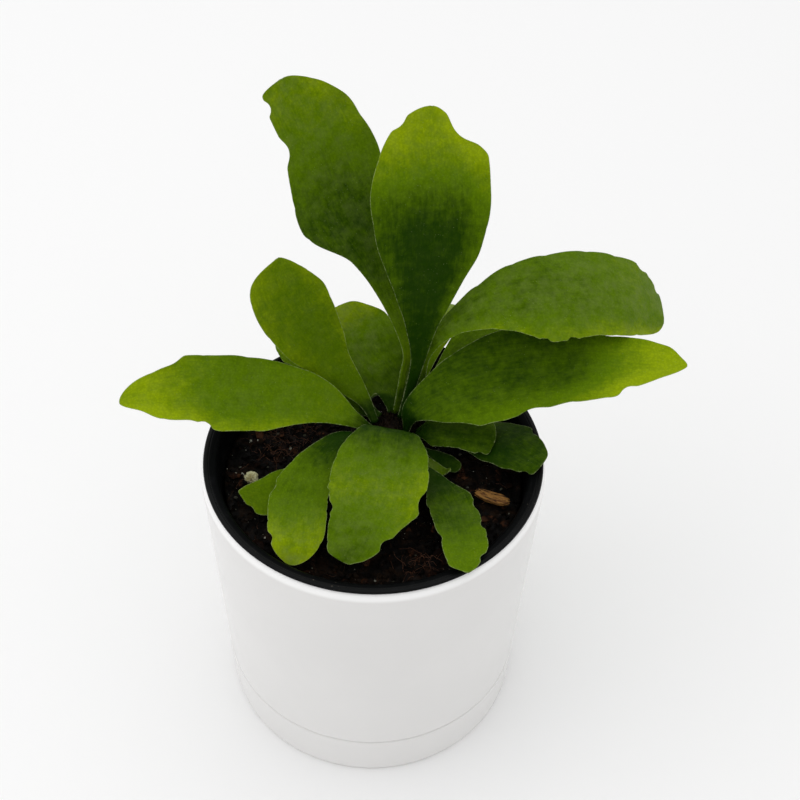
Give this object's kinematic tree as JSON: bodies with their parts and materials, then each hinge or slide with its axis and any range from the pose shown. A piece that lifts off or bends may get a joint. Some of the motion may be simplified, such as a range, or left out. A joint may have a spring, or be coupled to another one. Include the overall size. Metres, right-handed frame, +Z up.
{
  "type": "potted fern",
  "caption": "Young staghorn fern with spoon-shaped fronds in a black nursery pot, set in a white glazed cover pot that stands on its matching saucer.",
  "frame": {"origin": "centre of the saucer's flat underside, on the pot's axis", "axes": "+Z up along the pot's axis; -Y is the plant's front, where the short fronds hang over the rim; +X is to the right seen from the front"},
  "size_m": [0.2082, 0.1571, 0.2461],
  "materials": {
    "white_glaze": "satin white glaze",
    "black_plastic": "semi-matt moulded black plastic",
    "potting_mix": "damp, crumbly, with bark and perlite",
    "bark": "rough dry bark",
    "perlite": "chalky expanded grain",
    "rhizome": "brown papery scales",
    "frond": "leathery green leaf with a fine pale down"
  },
  "bodies": {
    "root": {"saucer": "white_glaze", "ceramic_pot": "white_glaze", "nursery_pot": "black_plastic", "potting_soil": "potting_mix", "bark_chip": "bark", "perlite_chunk": "perlite", "fern_crown": "rhizome", "frond_back_left_tall": "frond", "frond_centre_tall": "frond", "frond_right_upper": "frond", "frond_right_lower": "frond", "frond_left_upright": "frond", "frond_left_low": "frond", "frond_back_broad": "frond", "frond_front_centre": "frond", "frond_front_left": "frond", "frond_far_left_small": "frond", "frond_front_right": "frond", "frond_right_small": "frond", "frond_right_outer": "frond", "frond_young_curled": "frond", "frond_young_round": "frond", "frond_back_right": "frond", "frond_back_drooping": "frond", "frond_back_left": "frond"}
  },
  "joints": []
}
